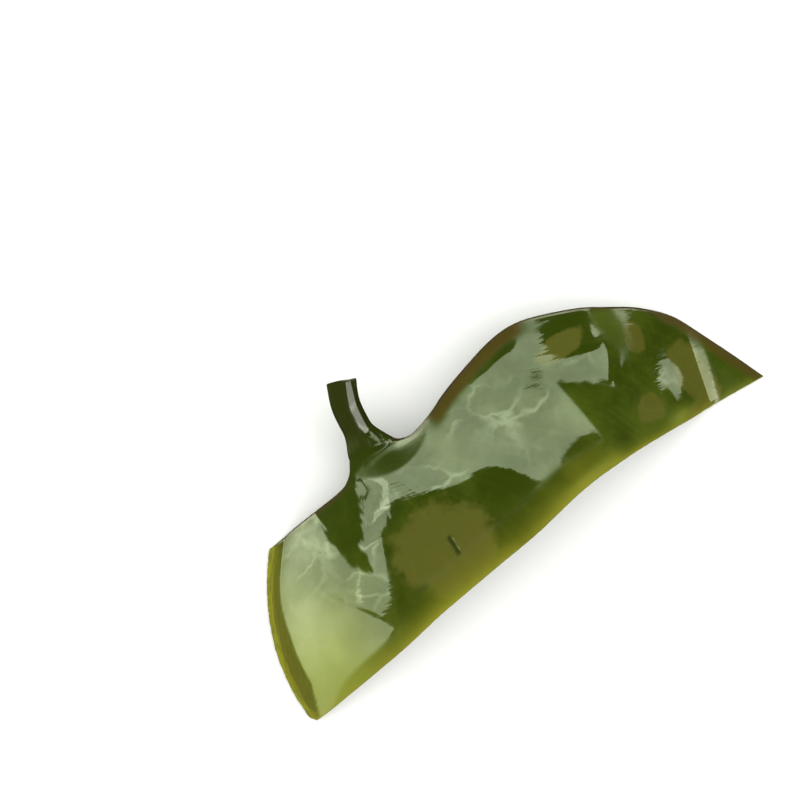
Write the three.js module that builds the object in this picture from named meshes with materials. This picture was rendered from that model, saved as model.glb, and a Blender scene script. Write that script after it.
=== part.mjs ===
// The cut base of a kelp frond: a short round stipe that flares into a broad, thick, leathery blade.
// The blade was trimmed with two straight cuts and lies draped in a low arch, touching the surface
// with its left cut edge and with its right tip.
//
// Units are millimetres. X runs along the span of the blade, Y towards the cut end of the stipe,
// and Z up. The frond grew as one piece, so it is one closed solid. It is laid out like a fan:
// every station along the growth is a closed ring, round on the stipe and a flat band on the blade,
// around one middle surface whose height is a sum of a few smooth folds.
// Places in the plan are measured from the joint, where the stipe meets the blade. The finished
// solid is then set on the origin by the middle of the bottom of its box.

import * as THREE from 'three';

// Stipe: its flatness is its thickness as a share of its width
const STIPE_RADIUS = 5.3;
const STIPE_FLATNESS = 0.8;
const STIPE_LINE = [[0.9, 30.3], [-2.7, 22.5], [-4.2, 13.5], [-5.0, 6.0]];
const STIPE_FLARE_WIDTH = 2.9;
const STIPE_FLARE_LENGTH = 10.0;
const STIPE_END_HEIGHT = 26.0;
const JOINT_HEIGHT = 20.5;

// Natural margins of the blade, each from the joint to a cut edge
const LEFT_MARGIN = [[-13.2, 6.0], [-17.2, 1.1], [-23.3, -1.0], [-40.5, -1.7], [-54.6, -2.3]];
const RIGHT_MARGIN = [
  [3.2, 6.0], [5.4, 2.0], [9.6, -0.5], [15.2, 0.6], [27.0, 4.8], [42.0, 8.4], [55.0, 10.5],
  [66.0, 9.7], [78.0, 4.8], [94.0, -4.4], [109.0, -13.7], [120.0, -25.0], [127.5, -42.5],
  [134.5, -62.9],
];

// The short cut across the left end bulges outwards, and the long cut runs along the front
const LEFT_CUT = { x: -79.1, footY: -60.0, bulge: 2.2 };
const FRONT_CUT = [
  [-77.5, -62.4], [-42.0, -59.0], [-12.0, -55.7], [20.0, -54.0], [48.0, -51.6], [66.0, -52.6],
  [90.0, -56.2], [108.0, -59.2], [134.5, -62.9],
];
const FRONT_CUT_MIDDLE = FRONT_CUT[4];
const LEFT_CUT_SHARE = 0.24;

// How the fan follows its margins: the pull of each fades inwards, and the right one starts slowly
const LEFT_PULL_FADE = 1.5;
const RIGHT_PULL_FADE = 3.0;
const RIGHT_MARGIN_PACE = 1.6;

// Thickness
const BLADE_HALF_THICKNESS = 1.25;
const JOINT_EXTRA_HALF_THICKNESS = 3.2;
const JOINT_THICKNESS_REACH = 13.0;

// Folds of the middle surface: a grade is a slope, and a softness the width of the bend into it
const CREST_HEIGHT = 35.0;
const LEFT_FALL = { grade: 0.52, startX: -24.0, softness: 12.0 };
const RIGHT_FALL = { grade: 0.62, footX: 124.0, footY: -28.0, lean: 0.355, softness: 2.2 };
const BACK_FALL = { grade: 0.42, startY: -19.0, softness: 4.5 };
const FAR_BACK_FALL = { grade: 0.3, startY: -42.0 };
const CORNER_FALL = { grade: 0.7, startX: -40.0, startY: -25.0, softness: 5.0 };
const FRONT_DROOP = { grade: 0.42, width: 5.0, softness: 1.6 };
const BACK_CURL = { grade: 0.4, width: 6.5, softness: 0.8, startX: 16.0, endX: 64.0, fade: 9.0 };
const JOINT_HOLLOW = { grade: 0.8, x: 0.5, y: 3.0, reachX: 17.0, reachY: 10.8, softness: 0.07 };
const FLANGE = { grade: 1.05, softness: 0.45 };
const WAVES = [
  { rise: 0.9, length: 58.0, heading: 0.35, phase: 0.6 },
  { rise: 0.6, length: 37.0, heading: -0.9, phase: 2.1 },
];

// Low swells and dips of the middle surface: rise, the place of the middle, and the reach both ways
const SWELLS = [
  [2.6, -49.0, 5.0, 12.0, 11.0],
  [1.6, -76.0, -27.0, 8.0, 16.0],
  [-1.8, -36.0, -26.0, 12.0, 14.0],
  [-1.4, -19.0, -6.0, 9.0, 9.0],
  [-2.2, -22.0, -54.0, 11.0, 10.0],
  [1.3, -5.0, -23.0, 11.0, 9.0],
  [-1.5, 16.0, -17.0, 11.0, 10.0],
  [2.0, 24.0, -52.0, 10.0, 12.0],
  [0.5, 47.0, -26.0, 6.0, 14.0],
  [-1.2, 82.0, 9.0, 10.0, 8.0],
  [-1.7, 79.0, -14.0, 9.0, 8.0],
  [0.9, 58.0, -36.0, 9.0, 15.0],
  [1.2, 101.0, -51.0, 9.0, 10.0],
  [-0.4, 60.0, 4.0, 9.0, 8.0],
  [-0.9, 69.0, -39.0, 7.0, 11.0],
];

// How it lies: the bend up from the surface, and how far the soft tissue is pressed flat on it
const FLOOR_SOFTNESS = 1.4;
const PRESSED_DEPTH = 0.3;

// Fineness of the mesh
const FLAT_SEGMENTS = 30;
const MARGIN_SEGMENTS = 6;
const STIPE_ROWS = 9;
const BLADE_ROWS = 30;
const ROUND_ARC = Math.PI / 3;

// How far apart the surface is read for its slope, and how much that is evened out round the joint
const PROBE = 0.05;
const JOINT_EASING = 4.5;
const JOINT_EASING_REACH = 11.0;

const KELP_GREEN = 0x3d4a12;

const { clamp, lerp, smoothstep } = THREE.MathUtils;

// A level line that bends up to a slope of one, rounded over the softness
function ramp(distance, softness) {
  return softness * Math.log1p(Math.exp(distance / softness));
}

function lowerOf(a, b, softness) {
  return a - ramp(a - b, softness);
}

function upperOf(a, b, softness) {
  return a + ramp(b - a, softness);
}

function curveThrough(points) {
  return new THREE.SplineCurve(points.map(([x, y]) => new THREE.Vector2(x, y)));
}

const stipeLine = curveThrough(STIPE_LINE);
const leftMargin = curveThrough(LEFT_MARGIN);
const rightMargin = curveThrough(RIGHT_MARGIN);
const frontCut = curveThrough(FRONT_CUT);
const stipeLength = stipeLine.getLength();
const stipeEnd = stipeLine.getPoint(0);
const joint = stipeLine.getPoint(1);
const jointLeft = leftMargin.getPoint(0);
const jointRight = rightMargin.getPoint(0);
const leftCorner = leftMargin.getPoint(1);
const frontCorner = frontCut.getPoint(0);
const rightTip = frontCut.getPoint(1);

// The x of the left cut edge at a given y
function leftCutX(y) {
  const rise = clamp((y - LEFT_CUT.footY) / (leftCorner.y - LEFT_CUT.footY), 0, 1);
  return lerp(LEFT_CUT.x, leftCorner.x, rise ** LEFT_CUT.bulge);
}

// The y of the front cut edge at a given x, nearest to the stipe at its middle
function frontCutY(x) {
  const [middleX, middleY] = FRONT_CUT_MIDDLE;
  const endX = x < middleX ? frontCorner.x : rightTip.x;
  return lerp(middleY, frontCorner.y, ((x - middleX) / (endX - middleX)) ** 2);
}

// The y of the back margin, read straight from point to point
function backMarginY(x) {
  const points = RIGHT_MARGIN.slice(3, 10);
  const next = Math.max(1, points.findIndex(([pointX]) => pointX >= x));
  const [[fromX, fromY], [toX, toY]] = [points[next - 1], points[next]];
  return lerp(fromY, toY, clamp((x - fromX) / (toX - fromX), 0, 1));
}

// The draped blade, before it meets the surface that it lies on
function drapeHeight(x, y) {
  const left = LEFT_FALL.grade * ramp(LEFT_FALL.startX - x, LEFT_FALL.softness);
  const toCorner = (CORNER_FALL.startX - x + y - CORNER_FALL.startY) * Math.SQRT1_2;
  const corner = CORNER_FALL.grade * ramp(toCorner, CORNER_FALL.softness);
  const far = smoothstep(x, 18, 46);
  const backStart = lerp(BACK_FALL.startY, FAR_BACK_FALL.startY, far);
  const backGrade = lerp(BACK_FALL.grade, FAR_BACK_FALL.grade, far) * (1 - smoothstep(x, 66, 104));
  const back = backGrade * ramp(y - backStart, BACK_FALL.softness);
  const front = FRONT_DROOP.grade * ramp(frontCutY(x) + FRONT_DROOP.width - y, FRONT_DROOP.softness);
  const rimX = (x - JOINT_HOLLOW.x) / JOINT_HOLLOW.reachX;
  const rimY = (y - JOINT_HOLLOW.y) / JOINT_HOLLOW.reachY;
  const inside = ramp(1 - Math.hypot(rimX, rimY), JOINT_HOLLOW.softness);
  const hollow = JOINT_HOLLOW.grade * JOINT_HOLLOW.reachY * inside;
  const { startX, endX, fade } = BACK_CURL;
  const curlAlong = smoothstep(x, startX, startX + fade) * (1 - smoothstep(x, endX - fade, endX));
  const toMargin = backMarginY(x) - BACK_CURL.width;
  const curl = BACK_CURL.grade * curlAlong * ramp(y - toMargin, BACK_CURL.softness);
  const roof = CREST_HEIGHT - left - corner - back - front - hollow + curl;
  const fromFoot = RIGHT_FALL.footX + RIGHT_FALL.lean * (y - RIGHT_FALL.footY) - x;
  return lowerOf(roof, RIGHT_FALL.grade * fromFoot, RIGHT_FALL.softness);
}

function waveHeight(x, y) {
  let total = 0;
  for (const { rise, length, heading, phase } of WAVES) {
    const travel = x * Math.cos(heading) + y * Math.sin(heading);
    total += rise * Math.sin((2 * Math.PI * travel) / length + phase);
  }
  for (const [rise, middleX, middleY, reachX, reachY] of SWELLS) {
    total += rise * Math.exp(-(((x - middleX) / reachX) ** 2) - ((y - middleY) / reachY) ** 2);
  }
  return total;
}

// The height of the middle surface over a point of the plan
function heightAt(x, y) {
  const drape = drapeHeight(x, y);
  const waved = drape + waveHeight(x, y) * smoothstep(drape, 2, 14);
  const resting = upperOf(waved, BLADE_HALF_THICKNESS, FLOOR_SOFTNESS) - PRESSED_DEPTH;
  const flangeFoot = BLADE_HALF_THICKNESS * Math.cos(Math.atan(FLANGE.grade)) - PRESSED_DEPTH;
  const blade = lowerOf(resting, flangeFoot + FLANGE.grade * (x - leftCutX(y)), FLANGE.softness);
  const stipe = lerp(JOINT_HEIGHT, STIPE_END_HEIGHT, smoothstep(y, joint.y, stipeEnd.y));
  const nearStipe = smoothstep(y, -5, 7) * smoothstep(x, -32, -14) * (1 - smoothstep(x, 4, 22));
  return lerp(blade, stipe, nearStipe);
}

// Which way the blade faces, evened out round the thick joint
function surfaceNormal(x, y) {
  const away = Math.hypot(x - joint.x, y - joint.y) / JOINT_EASING_REACH;
  const probe = PROBE + JOINT_EASING * Math.exp(-(away ** 2));
  const east = heightAt(x + probe, y) - heightAt(x - probe, y);
  const north = heightAt(x, y + probe) - heightAt(x, y - probe);
  return new THREE.Vector3(-east, -north, 2 * probe).normalize();
}

// The cut edges from the left corner round to the right tip, for across from 0 to 1
function cutEdge(across) {
  if (across > LEFT_CUT_SHARE) {
    return frontCut.getPointAt((across - LEFT_CUT_SHARE) / (1 - LEFT_CUT_SHARE));
  }
  const y = lerp(leftCorner.y, frontCorner.y, across / LEFT_CUT_SHARE);
  const rounding = smoothstep(LEFT_CUT.footY - y, 0, LEFT_CUT.footY - frontCorner.y);
  return new THREE.Vector2(lerp(leftCutX(y), frontCorner.x, rounding), y);
}

// A place on the blade: straight rays from the joint to the cut edges, drawn towards the two margins
function bladePlan(along, across) {
  const ray = jointLeft.clone().lerp(jointRight, across).lerp(cutEdge(across), along);
  const leftPull = leftMargin.getPointAt(along).sub(jointLeft.clone().lerp(leftCorner, along));
  const onRightMargin = rightMargin.getPointAt(along ** RIGHT_MARGIN_PACE);
  const rightPull = onRightMargin.sub(jointRight.clone().lerp(rightTip, along));
  ray.addScaledVector(leftPull, (1 - across) ** LEFT_PULL_FADE);
  return ray.addScaledVector(rightPull, across ** RIGHT_PULL_FADE);
}

// A place on the stipe, whose half width grows towards the joint
function stipePlan(along, across) {
  const centre = stipeLine.getPointAt(along);
  const tangent = stipeLine.getTangentAt(along);
  const side = new THREE.Vector2(-tangent.y, tangent.x);
  const flare = smoothstep((along - 1) * stipeLength, -STIPE_FLARE_LENGTH, 0);
  const halfWidth = STIPE_RADIUS + STIPE_FLARE_WIDTH * flare ** 2;
  const straight = centre.addScaledVector(side, (2 * across - 1) * halfWidth);
  return straight.lerp(jointLeft.clone().lerp(jointRight, across), flare ** 4);
}

function halfThicknessAt({ x, y }, bladeShare) {
  const away = Math.hypot(x - joint.x, y - joint.y) / JOINT_THICKNESS_REACH;
  const blade = BLADE_HALF_THICKNESS + JOINT_EXTRA_HALF_THICKNESS * Math.exp(-(away ** 2));
  return lerp(STIPE_RADIUS * STIPE_FLATNESS, blade, bladeShare);
}

// The ring at each station: where a point lies on a circle, and where on a flat band with round margins
function ringTemplate() {
  const points = [];
  const marginArc = Math.PI / 2 - ROUND_ARC;
  for (const face of [1, -1]) {
    for (let i = 0; i <= FLAT_SEGMENTS; i += 1) {
      const share = i / FLAT_SEGMENTS;
      const angle = Math.PI / 2 + ROUND_ARC * (1 - 2 * share);
      const round = [face * Math.cos(angle), face * Math.sin(angle)];
      points.push({ round, share: face > 0 ? share : 1 - share, bulge: 0, lift: face });
    }
    for (let i = 1; i < MARGIN_SEGMENTS; i += 1) {
      const share = 1 - (2 * i) / MARGIN_SEGMENTS;
      const round = [face * Math.cos(marginArc * share), face * Math.sin(marginArc * share)];
      const turn = (Math.PI / 2) * share;
      const [bulge, lift] = [face * Math.cos(turn), face * Math.sin(turn)];
      points.push({ round, share: face > 0 ? 1 : 0, bulge, lift });
    }
  }
  return points;
}

// One station of the fan, as a ring of points in space
function ringAt(planAt, along, bladeShare, template) {
  const step = 0.01;
  const insets = [0, 1].map((edge) => {
    const margin = planAt(along, edge);
    const span = margin.distanceTo(planAt(along, Math.abs(edge - step))) / step;
    return halfThicknessAt(margin, bladeShare) / span;
  });
  return template.map(({ round, share, bulge, lift }) => {
    const inset = insets[share < 0.5 ? 0 : 1];
    const band = lerp(insets[0], 1 - insets[1], share) + bulge * inset;
    const place = planAt(along, lerp((round[0] + 1) / 2, band, bladeShare));
    const offset = halfThicknessAt(place, bladeShare) * lerp(round[1], lift, bladeShare);
    const middle = new THREE.Vector3(place.x, place.y, heightAt(place.x, place.y));
    const point = middle.addScaledVector(surfaceNormal(place.x, place.y), offset);
    point.z = Math.max(point.z, 0);
    return point;
  });
}

// How far a station has turned from round to flat, with its distance from the joint along the growth
function bladeShareAt(distance) {
  return smoothstep(distance, -9, 13);
}

function stations() {
  const template = ringTemplate();
  const rings = [];
  for (let row = 0; row < STIPE_ROWS; row += 1) {
    const along = row / STIPE_ROWS;
    rings.push(ringAt(stipePlan, along, bladeShareAt((along - 1) * stipeLength), template));
  }
  const depth = jointLeft.y - FRONT_CUT_MIDDLE[1];
  for (let row = 0; row <= BLADE_ROWS; row += 1) {
    const along = row / BLADE_ROWS;
    rings.push(ringAt(bladePlan, along, bladeShareAt(along * depth), template));
  }
  return rings;
}

// Closes an end: the upper and lower flats are joined by a strip, and each round margin by a fan
function endFaces(first, ringLength, flip) {
  const faces = [];
  const half = ringLength / 2;
  const add = (a, b, c) => {
    const corners = flip ? [a, c, b] : [a, b, c];
    faces.push(...corners.map((k) => first + (k % ringLength)));
  };
  for (let i = 0; i < FLAT_SEGMENTS; i += 1) {
    const under = half + FLAT_SEGMENTS - i;
    add(i, i + 1, under);
    add(i + 1, under - 1, under);
  }
  for (const start of [FLAT_SEGMENTS, half + FLAT_SEGMENTS]) {
    for (let i = 1; i < MARGIN_SEGMENTS; i += 1) {
      add(start, start + i, start + i + 1);
    }
  }
  return faces;
}

function frondGeometry() {
  const rings = stations();
  const ringLength = rings[0].length;
  const faces = [];
  for (let row = 0; row + 1 < rings.length; row += 1) {
    for (let k = 0; k < ringLength; k += 1) {
      const here = row * ringLength;
      const next = here + ringLength;
      const after = (k + 1) % ringLength;
      faces.push(here + k, next + k, here + after);
      faces.push(here + after, next + k, next + after);
    }
  }
  faces.push(...endFaces(0, ringLength, false));
  faces.push(...endFaces((rings.length - 1) * ringLength, ringLength, true));
  const geometry = new THREE.BufferGeometry().setFromPoints(rings.flat());
  geometry.setIndex(faces);
  geometry.computeBoundingBox();
  const { min, max } = geometry.boundingBox;
  geometry.translate(-(min.x + max.x) / 2, -(min.y + max.y) / 2, -min.z);
  geometry.computeVertexNormals();
  return geometry;
}

const tissue = new THREE.MeshStandardMaterial({ color: KELP_GREEN, roughness: 0.25, metalness: 0 });

const frond = new THREE.Mesh(frondGeometry(), tissue);
frond.name = 'frond';

const kelpFrond = new THREE.Group();
kelpFrond.add(frond);

export default kelpFrond;
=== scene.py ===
"""A wet kelp frond: the short round stipe and the broad leathery blade of one cut frond.

The blade lies in a low arch, touching the surface with its left cut edge and with its right tip.
Sizes of the frond are in millimetres, measured from the joint where the stipe meets the blade, and
are turned into metres of the shared frame when the mesh is made. Positive Y is the stipe's side.
"""

import math
import bpy
import numpy as np
from mathutils import Matrix, Quaternion, Vector


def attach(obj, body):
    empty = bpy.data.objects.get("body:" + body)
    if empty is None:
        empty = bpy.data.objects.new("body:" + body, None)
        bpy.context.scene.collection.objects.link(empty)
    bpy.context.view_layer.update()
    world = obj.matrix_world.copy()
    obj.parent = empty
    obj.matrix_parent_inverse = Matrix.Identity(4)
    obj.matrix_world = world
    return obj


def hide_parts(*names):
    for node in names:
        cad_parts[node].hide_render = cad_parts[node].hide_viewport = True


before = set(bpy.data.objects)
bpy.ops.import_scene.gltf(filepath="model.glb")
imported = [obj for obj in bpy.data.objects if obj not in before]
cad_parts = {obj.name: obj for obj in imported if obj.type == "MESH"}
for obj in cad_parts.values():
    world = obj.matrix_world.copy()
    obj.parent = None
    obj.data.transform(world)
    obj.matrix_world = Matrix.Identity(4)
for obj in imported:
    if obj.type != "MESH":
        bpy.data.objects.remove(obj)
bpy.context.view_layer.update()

bl_info = {
    "name": "Wet kelp frond",
    "version": (1, 0, 0),
    "blender": (4, 5, 0),
    "location": "View3D > Sidebar > Kelp",
    "description": "Grows a cut kelp frond and lays it on a pale surface in soft light",
    "category": "Add Mesh",
}

MM = 0.001
NODE = "frond"

# Where the joint is in the plan of the shared frame
JOINT_PLACE = (-27.388, 15.190)

# Stipe: its flatness is its thickness as a share of its width
STIPE_RADIUS = 5.3
STIPE_LINE = [(0.9, 30.3), (-2.7, 22.5), (-4.2, 13.5), (-5.0, 6.0)]
STIPE_FLARE_WIDTH = 2.9
STIPE_FLARE_LENGTH = 10.0
STIPE_FLATNESS = 0.8
STIPE_END_HEIGHT = 26.0
JOINT_HEIGHT = 20.5

# Natural margins of the blade, each from the joint to a cut edge
LEFT_MARGIN = [(-13.2, 6.0), (-17.2, 1.1), (-23.3, -1.0), (-40.5, -1.7), (-54.6, -2.3)]
RIGHT_MARGIN = [
    (3.2, 6.0), (5.4, 2.0), (9.6, -0.5), (15.2, 0.6), (27.0, 4.8), (42.0, 8.4), (55.0, 10.5),
    (66.0, 9.7), (78.0, 4.8), (94.0, -4.4), (109.0, -13.7), (120.0, -25.0), (127.5, -42.5),
    (134.5, -62.9),
]

# The short cut across the left end bulges outwards, and the long cut runs along the front
LEFT_CUT_X, LEFT_CUT_FOOT_Y, LEFT_CUT_BULGE = -79.1, -60.0, 2.2
FRONT_CUT = [
    (-77.5, -62.4), (-42.0, -59.0), (-12.0, -55.7), (20.0, -54.0), (48.0, -51.6), (66.0, -52.6),
    (90.0, -56.2), (108.0, -59.2), (134.5, -62.9),
]
FRONT_CUT_MIDDLE = FRONT_CUT[4]
LEFT_CUT_SHARE = 0.24

# How the fan follows its margins: the pull of each fades inwards, and the right one starts slowly
LEFT_PULL_FADE = 1.5
RIGHT_PULL_FADE = 3.0
RIGHT_MARGIN_PACE = 1.6

# A pair called start, end or the like is a stretch over which one thing turns into another. This one
# is where the round stipe turns into the flat blade, measured along the growth from the joint.
ROUND_TO_FLAT = (-9.0, 13.0)

# Thickness: what the joint adds to it falls off sooner on the upper side
BLADE_THICKNESS = 2.5
JOINT_EXTRA_HALF_THICKNESS = 3.2
JOINT_THICKNESS_REACH = 13.0
JOINT_UPPER_REACH = 8.0

# A thick rib that carries the round stipe on into the right margin, and rises and falls along its line
RIB = [(-3.8, 14.0), (-3.0, 9.5), (-0.6, 5.2), (3.2, 1.8), (9.0, 0.2), (15.5, 1.6), (23.0, 4.0)]
RIB_HEIGHT = 1.6
RIB_WIDTH = 3.6
RIB_RISE = (0.0, 0.45)
RIB_FALL = (0.55, 1.0)

# Folds of the middle surface: grade is a slope, softness the width of the bend into it
CREST_HEIGHT = 35.0
LEFT_FALL = {"grade": 0.52, "start_x": -24.0, "softness": 12.0}
RIGHT_FALL = {"grade": 0.62, "foot_x": 124.0, "foot_y": -28.0, "lean": 0.355, "softness": 2.2}
BACK_FALL = {"grade": 0.42, "start_y": -19.0, "softness": 4.5, "end_x": (66.0, 104.0)}
FAR_BACK_FALL = {"grade": 0.3, "start_y": -42.0, "start_x": (18.0, 46.0)}
CORNER_FALL = {"grade": 0.7, "start_x": -40.0, "start_y": -25.0, "softness": 5.0}
FRONT_DROOP = {"grade": 0.42, "width": 5.0, "softness": 1.6}
BACK_CURL = {"grade": 0.4, "width": 6.5, "softness": 0.8, "start_x": 16.0, "end_x": 64.0, "fade": 9.0}
JOINT_HOLLOW = {"grade": 0.8, "x": 0.5, "y": 3.0, "reach_x": 17.0, "reach_y": 10.8, "softness": 0.07}
FLANGE = {"grade": 1.05, "softness": 0.45}
WAVES = [(0.9, 58.0, 0.35, 0.6), (0.6, 37.0, -0.9, 2.1)]
# Low swells and dips of the middle surface: rise, the place of the middle, and the reach both ways
SWELLS = [
    (2.6, -49.0, 5.0, 12.0, 11.0),
    (1.6, -76.0, -27.0, 8.0, 16.0),
    (-1.8, -36.0, -26.0, 12.0, 14.0),
    (-1.4, -19.0, -6.0, 9.0, 9.0),
    (-2.2, -22.0, -54.0, 11.0, 10.0),
    (1.3, -5.0, -23.0, 11.0, 9.0),
    (-1.5, 16.0, -17.0, 11.0, 10.0),
    (2.0, 24.0, -52.0, 10.0, 12.0),
    (0.5, 47.0, -26.0, 6.0, 14.0),
    (-1.2, 82.0, 9.0, 10.0, 8.0),
    (-1.7, 79.0, -14.0, 9.0, 8.0),
    (0.9, 58.0, -36.0, 9.0, 15.0),
    (1.2, 101.0, -51.0, 9.0, 10.0),
    (-0.4, 60.0, 4.0, 9.0, 8.0),
    (-0.9, 69.0, -39.0, 7.0, 11.0),
]
# How it lies: the bend up from the surface, and how far the soft tissue is pressed flat on it
FLOOR_SOFTNESS = 1.4
PRESSED_DEPTH = 0.3
# Between these heights the waves and swells come in
WAVY_HEIGHTS = (2.0, 14.0)
# Round the joint the middle surface lies at the stipe's own height
STIPE_LEVEL = {"start_y": (-5.0, 7.0), "start_x": (-32.0, -14.0), "end_x": (4.0, 22.0)}

# Fine ripples of the skin, as depth, width, length and seed, laid out on a fan
RIPPLES = [(0.05, 15.0, 24.0, 11), (0.02, 6.0, 13.0, 12), (0.006, 1.6, 9.0, 13)]
RIPPLE_FAN = {"angle": 3.1, "start_angle": 0.2, "radius": 60.0, "shift": 40.0}
RIPPLE_START = (4.0, 22.0)

# The lip of the cuts: how far each ring lies in from the cut, and its share of the thickness
CUT_LIP = [(0.37, 1.0), (0.2, 0.97), (0.08, 0.86), (0.02, 0.66), (0.0, 0.36), (0.0, 0.0)]
CUT_FACE_GIRTH = 0.9
# The cuts are frayed in fine teeth and in groups of them, and less along the front
FRAYED_DEPTH = 0.55
FRONT_FRAYED_SHARE = 0.22
FRAYED_TEETH = {"count": 330.0, "seed": 21}
FRAYED_GROUPS = {"count": 90.0, "shift": 7.5, "seed": 22, "least": 0.55, "more": 0.45}
FRAYING_FADE = 12
CUT_CORNER_BLEND = 0.02

# The cut end of the stipe: how far each ring lies in from the end, and its share of the girth
STIPE_END = [
    (0.5, 0.0), (0.46, 0.3), (0.34, 0.55), (0.12, 0.75), (0.04, 0.84), (0.0, 0.9), (0.03, 0.95),
    (0.16, 0.985), (0.45, 1.0),
]
END_FACE_GIRTH = (0.8, 0.99)
# Grooves along the stipe: each one's share of the depth, how many there are, and their turn
STIPE_GROOVE_DEPTH = 0.16
STIPE_GROOVES = [(0.6, 7.0, 0.6), (0.4, 13.0, 2.0)]

# Narrow raised puckers near the left end
PUCKERS = [
    [(-48.4, -24.0), (-46.4, -29.5), (-44.4, -34.5), (-42.0, -39.5), (-38.7, -43.7)],
    [(-43.6, -35.0), (-40.6, -40.5), (-37.1, -46.2)],
]
PUCKER_HEIGHT = 0.45
PUCKER_WIDTH = 0.65
PUCKER_FADE = 0.6
# Small wrinkled places by the stipe that glint: place and reach
GLINTS = [(3.0, 2.6, 2.2), (-13.5, 2.5, 2.0)]
GLINT_DEPTH = 0.3
GLINT_PITCH = 1.1
GLINT_SHIFT = 90.0
GLINT_SEED = 14
# A short nick in the skin, painted dark as painted shade in its groove
NICK = [(-2.4, -36.4), (-2.9, -42.6)]
NICK_DEPTH = 0.6
NICK_WIDTH = 0.55
NICK_FADE = 0.3
NICK_SHADE_WIDTH = 0.9

# Brownish patches in the tissue: the place of the middle and the reach both ways
OLIVE_PATCHES = [
    (-6.0, -39.0, 17.0, 17.0),
    (73.0, -6.0, 10.0, 4.5),
    (98.0, -20.0, 5.0, 7.0),
    (86.0, -44.0, 6.0, 6.0),
    (108.0, -56.0, 9.0, 3.0),
    (111.0, -44.0, 8.0, 13.0),
]
# Thin places by the front edge, painted pale partly as a glow of light through them: the place of the
# middle and the reach both ways
PALE_PATCHES = [
    (96.0, -54.5, 6.0, 2.6),
    (51.0, -50.2, 10.0, 2.3),
]

PALE_PATCH_SHARE = 0.7

# Where the other colours of the tissue lie
BLADE_START = (2.0, 14.0)
STIPE_COLOUR_END = (-12.0, 10.0)
RIM_WIDTH = 1.3
RIM_START = (1.0, 6.0)
FLANGE_WIDTHS = {"y": [-62.0, -50.0, -32.0, -5.0], "width": [2.5, 6.8, 6.4, 3.4], "blur": 0.6}
TAIL = {"left": (30.0, 60.0), "forward": (0.0, 46.0)}
BROWN_STRIP = {"width": 5.2, "start_x": (14.0, 22.0), "end_x": (60.0, 72.0)}
BROWN_TIP = {"share": 0.7, "start_x": (106.0, 116.0)}
# Painted glow of light through the thin tissue along the cuts: its reach, and the shorter reach far to the
# right
EDGE_GLOW = {"reach": 4.2, "far_reach": 1.6, "far_x": (60.0, 68.0)}
# A painted band of light on the front fold: the place of the middle and the reach both ways
GLOWING_FOLD = (51.0, -47.0, 10.0, 7.0)
GLOWING_FOLD_SHARE = 0.3

# Where the wet film is broken, or the skin lies in shade, so that the bright windows don't show in it.
# Streaks are a width, a length, a place in the noise and a seed.
DRY_WEDGE = [(-25.0, 3.0), (-28.0, -8.0), (-31.5, -19.0), (-30.5, -31.0)]
DRY_WEDGE_HALF_WIDTH = 10.5
DRY_WEDGE_TAPER = 0.8
DRY_WEDGE_STREAKS = [(0.8, 4.0, 60.0, 80.0, 32), (2.4, 7.0, 60.0, 80.0, 33)]
DRY_WEDGE_RIM = {"ragged": 1.2, "ragged_start": (0.05, 0.2), "blur": 0.6, "end_x": (-16.0, -14.0)}
DRY_SLOPE = {"start_x": (62.0, 63.4), "end_x": (82.0, 88.0), "blur": 2.5}
DRY_SLOPE_LINE = {"x": 62.0, "y": -14.0, "grade": 0.85, "ragged": 1.6}
DRY_SLOPE_STREAKS = (2.5, 1.2, 60.0, 90.0, 31)
DRY_FRONT = {"width": 9.0, "far_width": 14.0, "far_x": (-40.0, -20.0), "blur": 5.0, "end_x": (88.0, 96.0)}
DRY_FRONT_START = (LEFT_CUT_SHARE + 0.02, LEFT_CUT_SHARE + 0.08)
DRY_TIP = {"lean": 0.43, "start": (139.0, 140.8)}
DRY_TAIL = {"left": (34.0, 60.0), "forward": (24.0, 58.0)}
# A dry spot above the tip: the place of the middle and the reach both ways
DRY_SPOT = (92.0, -12.0, 5.0, 11.0)
HOLLOW_SHADE = {"rim": (0.86, 1.0), "end_y": (4.0, 10.0), "wet_rib": 2.6}
STIPE_SHADE = (-0.12, 0.12)
DRYNESS = {"far_end": 0.8, "tail": 0.4, "flange": 0.85, "hollow": 0.6}

# The grain of the skin: its turn from the length of the blade, in radians, its fineness each way, and
# its depth in metres. The fibres run along the fan.
GRAIN_TURN = 0.3
GRAIN_SCALE = (75.0, 560.0, 75.0)
FIBRE_SCALE = (520.0, 26.0, 1.0)
SKIN_BUMP = 0.00007
# The tissue: how many patches of each kind go to a metre, how far the edges of the brownish places
# wander, and how fully each colour covers the one under it
CLOUD_SCALE = 26.0
GLOW_SCALE = 34.0
PATCH_SCALE = 45.0
FILM_SCALE = 55.0
WOBBLE_SCALE = 95.0
OLIVE_WOBBLE = 0.3
BROWN_WOBBLE = 0.2
COVER = {
    "brown": 0.85, "flange": 0.9, "fibre": 0.05, "margin": 0.85, "nick": 0.9, "stipe": 1.0, "cut": 0.85,
}
# The rim of the cut is striped: how far from the cut it is greenest, and the fineness each way
STRIPED_RIM = {"green": (0.6, 3.2), "across": 1.3, "along": 220.0}
# Wet skin: its roughness, what dryness and a cut add to it, and how strongly it shines
WET_ROUGHNESS = (0.045, 0.09)
DRY_ROUGHNESS = 0.3
CUT_ROUGHNESS = 0.4
WET_SHINE = (0.38, 0.58)
DRY_SHINE = 0.04
DRY_TINT = (0.06, 0.06, 0.06)
SKIN_IOR = 1.45
# The net of pale lines: its fineness each way, how far it wanders, and its lines' width and strength
NET_SCALE = (48.0, 85.0, 40.0)
NET_DRIFT = 0.022
NET_LINE_WIDTH = 0.09
NET_STRENGTH = 0.42
WHITE = (1.0, 1.0, 1.0)
FLOOR_DIMMING = (0.985, 0.985, 0.98)

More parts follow.
